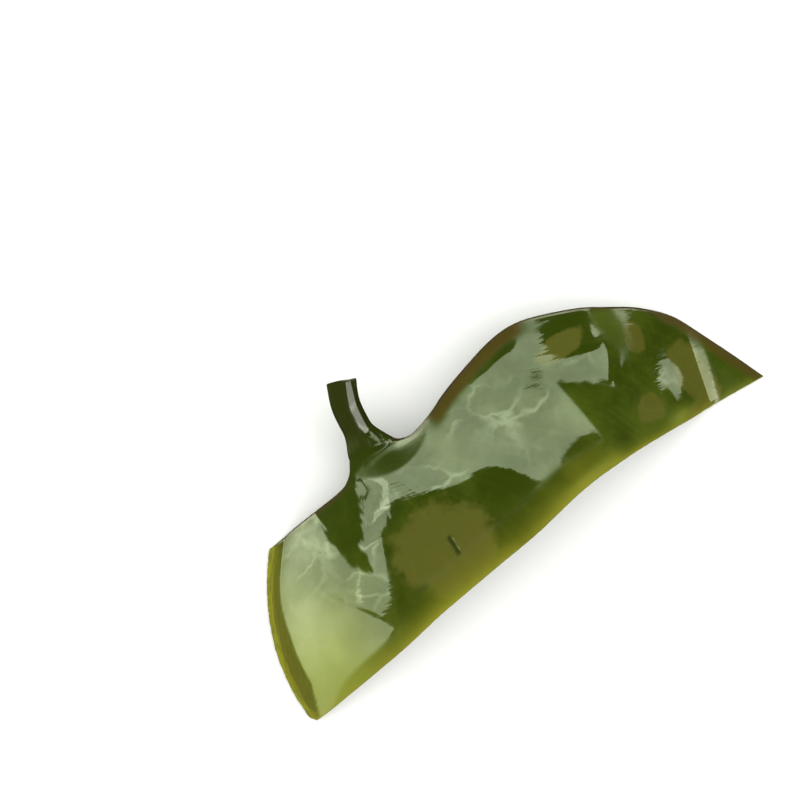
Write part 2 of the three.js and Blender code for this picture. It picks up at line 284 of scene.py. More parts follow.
# Fineness of the mesh
FLAT_SEGMENTS = 290
MARGIN_SEGMENTS = 10
STIPE_ROWS = 38
BLADE_ROWS = 104
ROUND_ARC = math.pi / 3
MARGIN_STEP = 0.01
NOISE_TABLE = 256
# Width of the unrolled fan, and the distances at which points and faces are merged, in metres
FAN_WIDTH = 0.18
WELD_DISTANCE = 2e-6
THINNEST_FACE = 1e-6

# How far apart the surface is read for its slope, and how much that is evened out round the joint
PROBE = 0.05
JOINT_EASING = 4.5
JOINT_EASING_REACH = 11.0


def ramp(distance, softness):
    """A level line that bends up to a slope of one, rounded over the softness."""
    return softness * np.logaddexp(0.0, distance / softness)


def lower_of(a, b, softness):
    return a - ramp(a - b, softness)


def upper_of(a, b, softness):
    return a + ramp(b - a, softness)


def lerp(a, b, share):
    return a + (b - a) * share


def smoothstep(x, start, end):
    share = np.clip((x - start) / (end - start), 0.0, 1.0)
    return share * share * (3.0 - 2.0 * share)


def relief_noise(u, v, seed):
    """Smooth noise from -1 to 1, with one random value at each whole u and v."""
    values = np.random.default_rng(seed).uniform(-1.0, 1.0, (NOISE_TABLE, NOISE_TABLE))
    column, row = np.floor(u), np.floor(v)
    right, up = smoothstep(u - column, 0.0, 1.0), smoothstep(v - row, 0.0, 1.0)
    i, j = column.astype(int) % NOISE_TABLE, row.astype(int) % NOISE_TABLE
    next_i, next_j = (i + 1) % NOISE_TABLE, (j + 1) % NOISE_TABLE
    low = lerp(values[i, j], values[next_i, j], right)
    high = lerp(values[i, next_j], values[next_i, next_j], right)
    return lerp(low, high, up)


def streaks(x, y, wide, long, shift_x, shift_y, seed):
    """Uneven spots of this width and length, taken from this place in the noise."""
    return relief_noise(x / wide + shift_x, y / long + shift_y, seed)


def oval_away(x, y, middle_x, middle_y, reach_x, reach_y, power=2):
    """How far out of the middle of an oval a place is, raised to a power: one on each end of it."""
    return ((x - middle_x) / reach_x) ** power + ((y - middle_y) / reach_y) ** power


class Curve:
    """A smooth line through plan points, followed by its share of length."""

    STEPS = 1600
    COARSE_STEP = 20
    HEADING_STEP = 0.004

    def __init__(self, points):
        knots = np.array([points[0], *points, points[-1]], float)
        place = np.linspace(0.0, len(points) - 1.0, self.STEPS)
        span = np.minimum(place.astype(int), len(points) - 2)
        t = (place - span)[:, None]
        before, start, end, after = (knots[span + k] for k in range(4))
        start_pull, end_pull = (end - before) / 2.0, (after - start) / 2.0
        cubic = (2.0 * start - 2.0 * end + start_pull + end_pull) * t**3
        square = (3.0 * end - 3.0 * start - 2.0 * start_pull - end_pull) * t**2
        self.points = cubic + square + start_pull * t + start
        steps = np.linalg.norm(np.diff(self.points, axis=0), axis=1)
        self.travel = np.concatenate([[0.0], np.cumsum(steps)])
        self.length = self.travel[-1]

    def at(self, share):
        travel = np.asarray(share, float) * self.length
        return np.stack([np.interp(travel, self.travel, self.points[:, k]) for k in (0, 1)], -1)

    def side(self, share):
        """The unit vector to the left of the curve's heading."""
        share = np.asarray(share, float)
        ahead = self.at(np.minimum(share + self.HEADING_STEP, 1.0))
        heading = ahead - self.at(np.maximum(share - self.HEADING_STEP, 0.0))
        heading /= np.linalg.norm(heading, axis=-1, keepdims=True)
        return np.stack([-heading[..., 1], heading[..., 0]], -1)

    def distance(self, x, y):
        """How far each place is from the curve, and how far along the curve the nearest point is."""
        coarse = self.points[::self.COARSE_STEP]
        heading = np.gradient(coarse, axis=0)
        heading /= np.linalg.norm(heading, axis=-1, keepdims=True)
        away = np.hypot(x[..., None] - coarse[:, 0], y[..., None] - coarse[:, 1])
        nearest = away.argmin(-1)
        past = (x - coarse[nearest, 0]) * heading[nearest, 0]
        past = past + (y - coarse[nearest, 1]) * heading[nearest, 1]
        past = np.where((nearest > 0) & (nearest < len(coarse) - 1), past, 0.0)
        return np.sqrt(np.maximum(away.min(-1) ** 2 - past**2, 0.0)), nearest / (len(coarse) - 1.0)


stipe_line = Curve(STIPE_LINE)
left_margin = Curve(LEFT_MARGIN)
right_margin = Curve(RIGHT_MARGIN)
front_cut = Curve(FRONT_CUT)
rib_line = Curve(RIB)
nick_line = Curve(NICK)
dry_wedge_line = Curve(DRY_WEDGE)
pucker_lines = [Curve(line) for line in PUCKERS]
STIPE_TOP = np.array(STIPE_LINE[0])
JOINT = np.array(STIPE_LINE[-1])
JOINT_LEFT, LEFT_CORNER = np.array(LEFT_MARGIN[0]), np.array(LEFT_MARGIN[-1])
JOINT_RIGHT, RIGHT_TIP = np.array(RIGHT_MARGIN[0]), np.array(RIGHT_MARGIN[-1])
FRONT_CORNER = np.array(FRONT_CUT[0])


def left_cut_x(y):
    rise = np.clip((y - LEFT_CUT_FOOT_Y) / (LEFT_CORNER[1] - LEFT_CUT_FOOT_Y), 0.0, 1.0)
    return lerp(LEFT_CUT_X, LEFT_CORNER[0], rise**LEFT_CUT_BULGE)


def front_cut_y(x):
    middle_x, middle_y = FRONT_CUT_MIDDLE
    end_x = np.where(x < middle_x, FRONT_CORNER[0], RIGHT_TIP[0])
    return lerp(middle_y, FRONT_CORNER[1], ((x - middle_x) / (end_x - middle_x)) ** 2)


def back_margin_y(x):
    margin_x, margin_y = np.array(RIGHT_MARGIN[3:10]).T
    return np.interp(x, margin_x, margin_y)


def hollow_rim(x, y):
    """How far a place is from the middle of the hollow by the joint: one on its rim."""
    rim_x = (x - JOINT_HOLLOW["x"]) / JOINT_HOLLOW["reach_x"]
    rim_y = (y - JOINT_HOLLOW["y"]) / JOINT_HOLLOW["reach_y"]
    return np.hypot(rim_x, rim_y)


def drape_height(x, y):
    """The draped blade, before it meets the surface that it lies on."""
    left = LEFT_FALL["grade"] * ramp(LEFT_FALL["start_x"] - x, LEFT_FALL["softness"])
    to_corner = (CORNER_FALL["start_x"] - x + y - CORNER_FALL["start_y"]) * math.sqrt(0.5)
    corner = CORNER_FALL["grade"] * ramp(to_corner, CORNER_FALL["softness"])
    far = smoothstep(x, *FAR_BACK_FALL["start_x"])
    back_start = lerp(BACK_FALL["start_y"], FAR_BACK_FALL["start_y"], far)
    back_grade = lerp(BACK_FALL["grade"], FAR_BACK_FALL["grade"], far)
    back_grade = back_grade * (1.0 - smoothstep(x, *BACK_FALL["end_x"]))
    back = back_grade * ramp(y - back_start, BACK_FALL["softness"])
    droop = front_cut_y(x) + FRONT_DROOP["width"] - y
    front = FRONT_DROOP["grade"] * ramp(droop, FRONT_DROOP["softness"])
    inside = ramp(1.0 - hollow_rim(x, y), JOINT_HOLLOW["softness"])
    hollow = JOINT_HOLLOW["grade"] * JOINT_HOLLOW["reach_y"] * inside
    start, end, fade = BACK_CURL["start_x"], BACK_CURL["end_x"], BACK_CURL["fade"]
    curl_along = smoothstep(x, start, start + fade) * (1.0 - smoothstep(x, end - fade, end))
    to_margin = back_margin_y(x) - BACK_CURL["width"]
    curl = BACK_CURL["grade"] * curl_along * ramp(y - to_margin, BACK_CURL["softness"])
    roof = CREST_HEIGHT - left - corner - back - front - hollow + curl
    from_foot = RIGHT_FALL["foot_x"] + RIGHT_FALL["lean"] * (y - RIGHT_FALL["foot_y"]) - x
    return lower_of(roof, RIGHT_FALL["grade"] * from_foot, RIGHT_FALL["softness"])


def wave_height(x, y):
    total = 0.0
    for rise, length, heading, phase in WAVES:
        travel = x * math.cos(heading) + y * math.sin(heading)
        total = total + rise * np.sin(2.0 * math.pi * travel / length + phase)
    for rise, *oval in SWELLS:
        total = total + rise * np.exp(-oval_away(x, y, *oval))
    return total


def height_at(x, y):
    """The height of the middle surface over a point of the plan."""
    drape = drape_height(x, y)
    waved = drape + wave_height(x, y) * smoothstep(drape, *WAVY_HEIGHTS)
    half = blade_half_thickness()
    resting = upper_of(waved, half, FLOOR_SOFTNESS) - PRESSED_DEPTH
    flange_foot = half * math.cos(math.atan(FLANGE["grade"])) - PRESSED_DEPTH
    flange = flange_foot + FLANGE["grade"] * (x - left_cut_x(y))
    blade = lower_of(resting, flange, FLANGE["softness"])
    stipe = lerp(JOINT_HEIGHT, STIPE_END_HEIGHT, smoothstep(y, JOINT[1], STIPE_TOP[1]))
    by_stipe = smoothstep(y, *STIPE_LEVEL["start_y"]) * smoothstep(x, *STIPE_LEVEL["start_x"])
    by_stipe = by_stipe * (1.0 - smoothstep(x, *STIPE_LEVEL["end_x"]))
    return lerp(blade, stipe, by_stipe)


def surface_normal(x, y):
    """Which way the blade faces, evened out round the thick joint."""
    away = np.hypot(x - JOINT[0], y - JOINT[1]) / JOINT_EASING_REACH
    probe = PROBE + JOINT_EASING * np.exp(-(away**2))
    east = height_at(x + probe, y) - height_at(x - probe, y)
    north = height_at(x, y + probe) - height_at(x, y - probe)
    normal = np.stack([-east, -north, 2.0 * probe], -1)
    return normal / np.linalg.norm(normal, axis=-1, keepdims=True)


def cut_edge(across):
    """The cut edges from the left corner round to the right tip."""
    y = lerp(LEFT_CORNER[1], FRONT_CORNER[1], across / LEFT_CUT_SHARE)
    rounding = smoothstep(LEFT_CUT_FOOT_Y - y, 0.0, LEFT_CUT_FOOT_Y - FRONT_CORNER[1])
    left = np.stack([lerp(left_cut_x(y), FRONT_CORNER[0], rounding), y], -1)
    front = front_cut.at(np.clip((across - LEFT_CUT_SHARE) / (1.0 - LEFT_CUT_SHARE), 0.0, 1.0))
    return np.where((across > LEFT_CUT_SHARE)[..., None], front, left)


def blade_plan(along, across):
    """A place on the blade: straight rays from the joint, drawn towards the two margins."""
    root = lerp(JOINT_LEFT, JOINT_RIGHT, across[..., None])
    ray = lerp(root, cut_edge(across), along[..., None])
    left_pull = left_margin.at(along) - lerp(JOINT_LEFT, LEFT_CORNER, along[..., None])
    on_right_margin = right_margin.at(along**RIGHT_MARGIN_PACE)
    right_pull = on_right_margin - lerp(JOINT_RIGHT, RIGHT_TIP, along[..., None])
    ray = ray + left_pull * ((1.0 - across) ** LEFT_PULL_FADE)[..., None]
    return ray + right_pull * (across**RIGHT_PULL_FADE)[..., None]


def stipe_plan(along, across):
    """A place on the stipe, whose half width grows towards the joint."""
    sizes = bpy.context.scene.kelp_sizes
    flare = smoothstep((along - 1.0) * stipe_line.length, -STIPE_FLARE_LENGTH, 0.0)
    half_width = sizes.stipe_radius / MM + STIPE_FLARE_WIDTH * flare**2
    offset = ((2.0 * across - 1.0) * half_width)[..., None]
    straight = stipe_line.at(along) + stipe_line.side(along) * offset
    root = lerp(JOINT_LEFT, JOINT_RIGHT, across[..., None])
    return lerp(straight, root, (flare**4)[..., None])


def blade_half_thickness():
    return bpy.context.scene.kelp_sizes.blade_thickness / MM / 2.0


def half_thickness(place, blade_share, lift=-1.0):
    """Half the tissue's thickness, which falls off sooner on the upper side of the joint."""
    reach = lerp(JOINT_THICKNESS_REACH, JOINT_UPPER_REACH, 0.5 + 0.5 * lift)
    away = np.hypot(place[..., 0] - JOINT[0], place[..., 1] - JOINT[1]) / reach
    blade = blade_half_thickness() + JOINT_EXTRA_HALF_THICKNESS * np.exp(-(away**2))
    stipe = STIPE_FLATNESS * bpy.context.scene.kelp_sizes.stipe_radius / MM
    return lerp(stipe, blade, blade_share)


def ring_template():
    """Where each point of a ring lies on a circle, and where on a flat band with round margins."""
    points = []
    margin_arc = math.pi / 2.0 - ROUND_ARC
    for face in (1, -1):
        for i in range(FLAT_SEGMENTS + 1):
            share = i / FLAT_SEGMENTS
            angle = math.pi / 2.0 + ROUND_ARC * (1.0 - 2.0 * share)
            round_x, round_z = face * math.cos(angle), face * math.sin(angle)
            points.append((round_x, round_z, share if face > 0 else 1.0 - share, 0.0, face))
        for i in range(1, MARGIN_SEGMENTS):
            share = 1.0 - 2.0 * i / MARGIN_SEGMENTS
            round_x, round_z = face * math.cos(margin_arc * share), face * math.sin(margin_arc * share)
            turn = math.pi / 2.0 * share
            edge = 1.0 if face > 0 else 0.0
            points.append((round_x, round_z, edge, face * math.cos(turn), face * math.sin(turn)))
    points.append(points[0])
    return np.array(points)


def row_list():
    """Each row of the sheet: the part it is on, its place along that part and its share of girth."""
    rows = []
    for inset, girth in STIPE_END:
        rows.append(("stipe", inset / stipe_line.length, girth))
    start = STIPE_END[-1][0] / stipe_line.length
    for row in range(1, STIPE_ROWS):
        rows.append(("stipe", lerp(start, 1.0, row / STIPE_ROWS), 1.0))
    for row in range(BLADE_ROWS):
        rows.append(("blade", row / BLADE_ROWS, 1.0))
    for inset, girth in CUT_LIP:
        rows.append(("lip", inset, girth))
    return rows


def frayed_inset(share):
    """How far the cuts are frayed back, most of all on the left cut."""
    on_front = smoothstep(share, LEFT_CUT_SHARE - CUT_CORNER_BLEND, LEFT_CUT_SHARE + CUT_CORNER_BLEND)
    level = np.zeros_like(share)
    teeth = 0.5 + 0.5 * relief_noise(share * FRAYED_TEETH["count"], level, FRAYED_TEETH["seed"])
    level = level + FRAYED_GROUPS["shift"]
    groups = relief_noise(share * FRAYED_GROUPS["count"], level, FRAYED_GROUPS["seed"])
    teeth = teeth * (FRAYED_GROUPS["least"] + FRAYED_GROUPS["more"] * groups)
    return FRAYED_DEPTH * teeth * lerp(FRONT_FRAYED_SHARE, 1.0, 1.0 - on_front)


def margin_inset(plan_at, along, edge, blade_share):
    """How far in from one margin its round edge reaches, as a share of the width."""
    margin = plan_at(along, np.full_like(along, edge))
    beside = plan_at(along, np.full_like(along, abs(edge - MARGIN_STEP)))
    span = np.linalg.norm(margin - beside, axis=-1) / MARGIN_STEP
    return half_thickness(margin, blade_share) / span


def frond_points():
    """The frond's skin as rows of rings, with what the masks and the fan need to know of each point."""
    round_x, round_z, share, bulge, lift = ring_template().T
    depth = JOINT_LEFT[1] - FRONT_CUT_MIDDLE[1]
    ray_length = np.linalg.norm(cut_edge(share) - lerp(JOINT_LEFT, JOINT_RIGHT, share[:, None]), axis=-1)
    frayed = frayed_inset(share)
    rings, cuts, travels, ends = [], [], [], []
    for part, place, girth in row_list():
        if part == "stipe":
            along = np.full_like(share, place)
            distance = (along - 1.0) * stipe_line.length
            plan_at = stipe_plan
        else:
            inset = place if part == "lip" else CUT_LIP[0][0]
            full = 1.0 - (inset + frayed) / ray_length
            along = full if part == "lip" else place * lerp(1.0, full, place**FRAYING_FADE)
            distance = along * depth
            plan_at = blade_plan
        blade_share = smoothstep(distance, *ROUND_TO_FLAT)
        left_inset, right_inset = (margin_inset(plan_at, along, edge, blade_share) for edge in (0.0, 1.0))
        inset_here = np.where(share < 0.5, left_inset, right_inset)
        band = lerp(left_inset, 1.0 - right_inset, share) + bulge * inset_here
        across = lerp((round_x + 1.0) / 2.0, band, blade_share)
        if part == "stipe" and girth < 1.0:
            across = 0.5 + (across - 0.5) * girth
        plan = plan_at(along, across)
        x, y = plan[:, 0], plan[:, 1]
        profile = lerp(round_z, lift, blade_share) * girth
        travel = distance if part == "stipe" else along * ray_length
        relief = skin_relief(x, y, share, round_x, round_z, lift, travel, blade_share)
        offset = half_thickness(plan, blade_share, lift) * profile + relief * girth
        middle = np.stack([x, y, height_at(x, y)], -1)
        ring = middle + surface_normal(x, y) * offset[:, None]
        ring[:, 2] = np.maximum(ring[:, 2], 0.0)
        rings.append(ring)
        travels.append(travel)
        cuts.append(np.full_like(share, part == "lip" and girth < CUT_FACE_GIRTH))
        end = 1.0 - smoothstep(girth, *END_FACE_GIRTH) if part == "stipe" else 0.0
        ends.append(np.full_like(share, end))
    return {
        "points": np.array(rings),
        "cut": np.array(cuts),
        "travel": np.array(travels),
        "end": np.array(ends),
        "share": np.broadcast_to(share, (len(rings), len(share))),
        "round_x": round_x,
    }


def skin_relief(x, y, share, round_x, round_z, lift, travel, blade_share):
    """How far the skin stands out from the plain form, along the middle surface's normal."""
    relief = np.zeros_like(x)
    fan_place = (share * RIPPLE_FAN["angle"] + RIPPLE_FAN["start_angle"]) * RIPPLE_FAN["radius"]
    for depth, wide, long, seed in RIPPLES:
        relief += depth * relief_noise(fan_place / wide, travel / long + RIPPLE_FAN["shift"], seed)
    relief *= blade_share * smoothstep(travel, *RIPPLE_START)
    pucker = np.zeros_like(x)
    for line in pucker_lines:
        away, reached = line.distance(x, y)
        fade = np.sin(math.pi * np.clip(reached, 0.0, 1.0)) ** PUCKER_FADE
        pucker += PUCKER_HEIGHT * fade * np.exp(-((away / PUCKER_WIDTH) ** 2))
    away, reached = nick_line.distance(x, y)
    nick = NICK_DEPTH * np.exp(-((away / NICK_WIDTH) ** 4)) * np.sin(math.pi * reached) ** NICK_FADE
    angle = np.arctan2(round_z, round_x)
    waves = (part * np.sin(count * angle + turn) for part, count, turn in STIPE_GROOVES)
    groove = STIPE_GROOVE_DEPTH * sum(waves)
    groove *= (1.0 - blade_share) * np.sign(round_z)
    away, reached = rib_line.distance(x, y)
    rib = RIB_HEIGHT * smoothstep(reached, *RIB_RISE) * (1.0 - smoothstep(reached, *RIB_FALL))
    rib *= np.exp(-((away / RIB_WIDTH) ** 2)) * np.maximum(lerp(round_z, lift, blade_share), 0.0)
    beads = np.zeros_like(x)
    bumpy = relief_noise(x * GLINT_PITCH + GLINT_SHIFT, y * GLINT_PITCH + GLINT_SHIFT, GLINT_SEED)
    for bead_x, bead_y, reach in GLINTS:
        beads += GLINT_DEPTH * np.exp(-((x - bead_x) ** 2 + (y - bead_y) ** 2) / reach**2) * bumpy
    return relief + (pucker - nick) * (lift > 0.5) * blade_share + groove + rib + beads * (round_z > 0.0)


def flange_mask(x, y):
    """The strip that hangs down along the left cut."""
    width = np.interp(y, FLANGE_WIDTHS["y"], FLANGE_WIDTHS["width"])
    blur = FLANGE_WIDTHS["blur"]
    return 1.0 - smoothstep(x - left_cut_x(y), width - blur, width + blur)


def tail_mask(x, y, flange):
    """The thin tissue at the left end, and the pale places by the front edge: partly the tissue's own paler
    green, partly painted glow of light through the thin tissue.
    """
    tail = smoothstep(-x, *TAIL["left"]) * smoothstep(-y, *TAIL["forward"]) * (1.0 - flange)
    for oval in PALE_PATCHES:
        tail = np.maximum(tail, PALE_PATCH_SHARE * np.exp(-oval_away(x, y, *oval)))
    return tail


def brown_mask(x, right_away):
    """The curled strip along the back margin, and the margin of the tip."""
    curl = smoothstep(x, *BROWN_STRIP["start_x"]) * (1.0 - smoothstep(x, *BROWN_STRIP["end_x"]))
    tip = BROWN_TIP["share"] * smoothstep(x, *BROWN_TIP["start_x"])
    return np.exp(-((right_away / BROWN_STRIP["width"]) ** 4)) * np.maximum(curl, tip)


def glow_mask(x, y, to_cut):
    """Painted glow of light through the thin tissue along the cuts, and the painted band of light on the
    front fold.
    """
    reach = lerp(EDGE_GLOW["reach"], EDGE_GLOW["far_reach"], smoothstep(x, *EDGE_GLOW["far_x"]))
    fold = GLOWING_FOLD_SHARE * np.exp(-oval_away(x, y, *GLOWING_FOLD, power=4))
    return np.maximum(np.exp(-to_cut / reach), fold)


def shaded_hollow(x, y):
    """The hollow by the joint, except for the rib that crosses it."""
    inside = 1.0 - smoothstep(hollow_rim(x, y), *HOLLOW_SHADE["rim"])
    rib_away, _ = rib_line.distance(x, y)
    off_rib = 1.0 - np.exp(-((rib_away / HOLLOW_SHADE["wet_rib"]) ** 2))
    return inside * (1.0 - smoothstep(y, *HOLLOW_SHADE["end_y"])) * off_rib


def dry_front(x, share, to_cut):
    """A strip along the front cut, wider past the left end."""
    width = lerp(DRY_FRONT["width"], DRY_FRONT["far_width"], smoothstep(x, *DRY_FRONT["far_x"]))
    strip = 1.0 - smoothstep(to_cut, width - DRY_FRONT["blur"], width)
    strip *= 1.0 - smoothstep(x, *DRY_FRONT["end_x"])
    return strip * smoothstep(share, *DRY_FRONT_START)


def dry_slope(x, y):
    """The top of the right slope, in front of a ragged line."""
    below = DRY_SLOPE_LINE["y"] - y - DRY_SLOPE_LINE["grade"] * (x - DRY_SLOPE_LINE["x"])
    below += DRY_SLOPE_LINE["ragged"] * streaks(x, y, *DRY_SLOPE_STREAKS)
    slope = smoothstep(x, *DRY_SLOPE["start_x"]) * (1.0 - smoothstep(x, *DRY_SLOPE["end_x"]))
    return slope * smoothstep(below, 0.0, DRY_SLOPE["blur"])


def dry_wedge(x, y):
    """A ragged wedge from the left margin downwards."""
    away, along = dry_wedge_line.distance(x, y)
    streaky = sum(streaks(x, y, *facts) for facts in DRY_WEDGE_STREAKS)
    half = DRY_WEDGE_HALF_WIDTH * (1.0 - along) ** DRY_WEDGE_TAPER
    half += DRY_WEDGE_RIM["ragged"] * streaky * smoothstep(along, *DRY_WEDGE_RIM["ragged_start"])
    wedge = 1.0 - smoothstep(away, half - DRY_WEDGE_RIM["blur"], half + DRY_WEDGE_RIM["blur"])
    return wedge * (1.0 - smoothstep(x, *DRY_WEDGE_RIM["end_x"]))


def frond_masks(made):
    """Values, mostly from 0 to 1, that tell the material where the tissue changes."""
    share, travel = made["share"], made["travel"]
    x, y = made["points"][..., 0], made["points"][..., 1]
    edge = cut_edge(share[0])
    to_cut = np.hypot(x - edge[:, 0], y - edge[:, 1])
    on_blade = smoothstep(travel, *BLADE_START)
    left_away, _ = left_margin.distance(x, y)
    right_away, _ = right_margin.distance(x, y)
    nick_away, _ = nick_line.distance(x, y)
    margin = np.exp(-((np.minimum(left_away, right_away) / RIM_WIDTH) ** 2))
    flange = flange_mask(x, y)
    brown = brown_mask(x, right_away)
    # Painted shade in the nick's groove, which also dulls its shine
    nick = np.exp(-((nick_away / NICK_SHADE_WIDTH) ** 4)) * on_blade
    stipe = 1.0 - smoothstep(travel, *STIPE_COLOUR_END)
    shaded_side = stipe * (1.0 - smoothstep(made["round_x"], *STIPE_SHADE))
    dry_spot = np.exp(-oval_away(x, y, *DRY_SPOT, power=4))
    dry_tip = smoothstep(x - DRY_TIP["lean"] * y, *DRY_TIP["start"])
    dry_tail = smoothstep(-x, *DRY_TAIL["left"]) * smoothstep(-y, *DRY_TAIL["forward"])
    dull = DRYNESS["far_end"] * (dry_spot + dry_tip) + DRYNESS["tail"] * dry_tail
    dull = dull + DRYNESS["flange"] * flange + DRYNESS["hollow"] * shaded_hollow(x, y) + nick
    dull = dull + shaded_side + dry_slope(x, y) + brown + dry_front(x, share, to_cut) + dry_wedge(x, y)
    return {
        "glow": glow_mask(x, y, to_cut) * on_blade,
        "to_cut": to_cut,
        "tail": tail_mask(x, y, flange),
        "olive": np.max([0.5 ** oval_away(x, y, *oval) for oval in OLIVE_PATCHES], axis=0),
        "brown": brown * on_blade,
        "margin": margin * on_blade * smoothstep(to_cut, *RIM_START),
        "flange": flange,
        "stipe": stipe,
        "dull": np.minimum(dull, 1.0),
        "nick": nick,
        "cut": made["cut"],
        "end": made["end"],
    }


def deselect_all():
    for item in bpy.context.selected_objects:
        item.select_set(False)
    bpy.context.view_layer.objects.active = None


def rolled_sheet(made):
    """A flat grid, rolled round the frond's rings and joined along the seam and at both ends."""
    points = made["points"]
    rows, columns = points.shape[:2]
    deselect_all()
    bpy.ops.mesh.primitive_grid_add(
        x_subdivisions=columns - 1, y_subdivisions=rows - 1, size=1.0, calc_uvs=True
    )
    sheet = bpy.context.active_object
    sheet.name = "frond_skin"
    mesh = sheet.data
    mesh.name = "frond_skin"
    flat = np.zeros(len(mesh.vertices) * 3, np.float32)
    mesh.vertices.foreach_get("co", flat)
    flat = flat.reshape(-1, 3)
    column = np.rint((flat[:, 0] + 0.5) * (columns - 1)).astype(int)
    row = np.rint((0.5 - flat[:, 1]) * (rows - 1)).astype(int)
    placed = points[row, column] * MM
    placed += np.array([*JOINT_PLACE, 0.0]) * MM
    mesh.vertices.foreach_set("co", placed.astype(np.float32).ravel())
    for name, values in frond_masks(made).items():
        layer = mesh.attributes.new(name, "FLOAT", "POINT")
        layer.data.foreach_set("value", values[row, column].astype(np.float32))
    corners = np.zeros(len(mesh.loops), int)
    mesh.loops.foreach_get("vertex_index", corners)
    across, along = made["share"] * FAN_WIDTH, made["travel"] * MM
    fan = np.stack([across[row, column], along[row, column]], -1)[corners]
    mesh.uv_layers.active.name = "fan"
    mesh.uv_layers.active.data.foreach_set("uv", fan.astype(np.float32).ravel())
    mesh.update()
    bpy.ops.object.mode_set(mode="EDIT")
    bpy.ops.mesh.select_all(action="SELECT")
    bpy.ops.mesh.remove_doubles(threshold=WELD_DISTANCE)
    bpy.ops.mesh.dissolve_degenerate(threshold=THINNEST_FACE)
    bpy.ops.mesh.normals_make_consistent(inside=False)
    bpy.ops.mesh.select_all(action="DESELECT")
    bpy.ops.object.mode_set(mode="OBJECT")
    bpy.ops.object.shade_smooth()
    return sheet


class KelpSizes(bpy.types.PropertyGroup):
    stipe_radius: bpy.props.FloatProperty(
        name="Stipe radius",
        description="Radius of the round stipe",
        default=STIPE_RADIUS * MM,
        unit="LENGTH",
    )
    blade_thickness: bpy.props.FloatProperty(
        name="Blade thickness",
        description="Thickness of the blade",
        default=BLADE_THICKNESS * MM,
        unit="LENGTH",
    )


def colour_property(name, description, default):
    return bpy.props.FloatVectorProperty(
        name=name, description=description, default=default, size=3, min=0.0, max=1.0, subtype="COLOR"
    )


class KelpColours(bpy.types.PropertyGroup):
    deep: colour_property("Deep green", "The thick tissue of the blade", (0.026, 0.042, 0.002))
    fresh: colour_property("Fresh green", "Brighter tissue between deep patches", (0.052, 0.075, 0.006))
    olive: colour_property("Olive", "Brownish patches", (0.082, 0.086, 0.012))
    brown: colour_property("Brown", "The curled strip along the back margin", (0.062, 0.046, 0.008))
    # Partly painted glow: the pale green also paints the light shining through the thin tail
    pale: colour_property("Pale green", "Thin tissue at the tail", (0.20, 0.232, 0.032))
    # Painted glow: the edge green paints the light that shines through the thin tissue by the cuts
    glow: colour_property("Edge green", "Thin tissue along the cut edges", (0.23, 0.225, 0.020))
    cut: colour_property("Cut face", "The yellow-green inside of the blade", (0.17, 0.18, 0.014))
    margin: colour_property("Margin", "The brown rim of the natural margins", (0.060, 0.040, 0.016))
    # Also painted into the nick as painted shade in its groove
    stipe: colour_property("Stipe", "The dark tissue of the stipe", (0.022, 0.028, 0.004))
    pith: colour_property("Pith", "The cut end of the stipe", (0.45, 0.34, 0.2))
    rind: colour_property("Rind", "The ring round the pith", (0.20, 0.085, 0.03))
    floor: colour_property("Surface", "The pale surface", (0.86, 0.86, 0.85))


def rgba(colour):
    return (*colour, 1.0)


class Nodes:
    """A short way of adding linked nodes to a material."""

    def __init__(self, material):
        material.use_nodes = True
        self.tree = material.node_tree
        self.tree.nodes.clear()
        self.shader = self.add("ShaderNodeBsdfPrincipled")
        output = self.add("ShaderNodeOutputMaterial")
        self.link(self.shader.outputs[0], output.inputs[0])

    def add(self, kind, **settings):
        node = self.tree.nodes.new(kind)
        for name, value in settings.items():
            setattr(node, name, value)
        return node

    def link(self, source, target):
        self.tree.links.new(source, target)

    def attribute(self, name):
        return self.add("ShaderNodeAttribute", attribute_name=name).outputs["Fac"]

    def noise(self, vector, scale, detail=3.0, roughness=0.55, output="Fac"):
        node = self.add("ShaderNodeTexNoise")
        node.inputs["Scale"].default_value = scale
        node.inputs["Detail"].default_value = detail
        node.inputs["Roughness"].default_value = roughness
        self.link(vector, node.inputs["Vector"])
        return node.outputs[output]

    def stretch(self, vector, scale):
        node = self.add("ShaderNodeMapping")
        node.inputs["Scale"].default_value = scale
        self.link(vector, node.inputs["Vector"])
        return node.outputs[0]

    def math(self, operation, first, second):
        node = self.add("ShaderNodeMath", operation=operation)
        for socket, value in zip(node.inputs, (first, second)):
            if isinstance(value, (int, float)):
                socket.default_value = value
            else:
                self.link(value, socket)
        return node.outputs[0]

    def remap(self, value, start, end, low=0.0, high=1.0):
        node = self.add("ShaderNodeMapRange", interpolation_type="SMOOTHSTEP")
        for name, number in (("From Min", start), ("From Max", end), ("To Min", low), ("To Max", high)):
            node.inputs[name].default_value = number
        self.link(value, node.inputs["Value"])
        return node.outputs["Result"]

    def mix(self, share, first, second):
        node = self.add("ShaderNodeMix", data_type="RGBA")
        self.link(share, node.inputs["Factor"])
        for socket, value in ((node.inputs[6], first), (node.inputs[7], second)):
            if isinstance(value, tuple):
                socket.default_value = value
            else:
                self.link(value, socket)
        return node.outputs[2]


